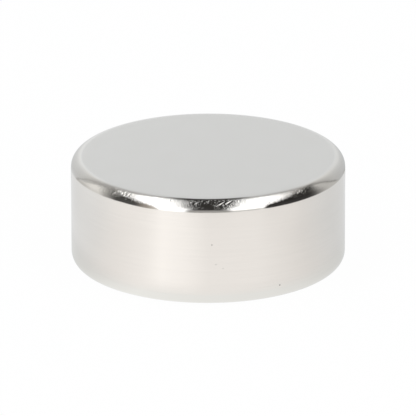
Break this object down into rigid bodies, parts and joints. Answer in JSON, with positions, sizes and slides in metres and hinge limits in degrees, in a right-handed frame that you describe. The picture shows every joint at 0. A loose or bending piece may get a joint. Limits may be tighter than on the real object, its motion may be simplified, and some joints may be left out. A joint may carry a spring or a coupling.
{
  "type": "disc magnet",
  "caption": "Plain nickel-plated disc magnet: a short solid cylinder with flat pole faces and rounded edges, for a bench, a desk, a latch or a pocket in a fixture.",
  "frame": {"origin": "centre of the lower pole face", "axes": "+Z along the axis of the disc, from the lower pole face to the upper one; X and Y are free, because the disc is round"},
  "size_m": [0.025, 0.025, 0.01],
  "materials": {
    "nickel_plating": "bright nickel plating: polished pole faces and edges, side wall finely ground with a satin shine"
  },
  "bodies": {
    "root": {"magnet": "nickel_plating"}
  },
  "joints": []
}
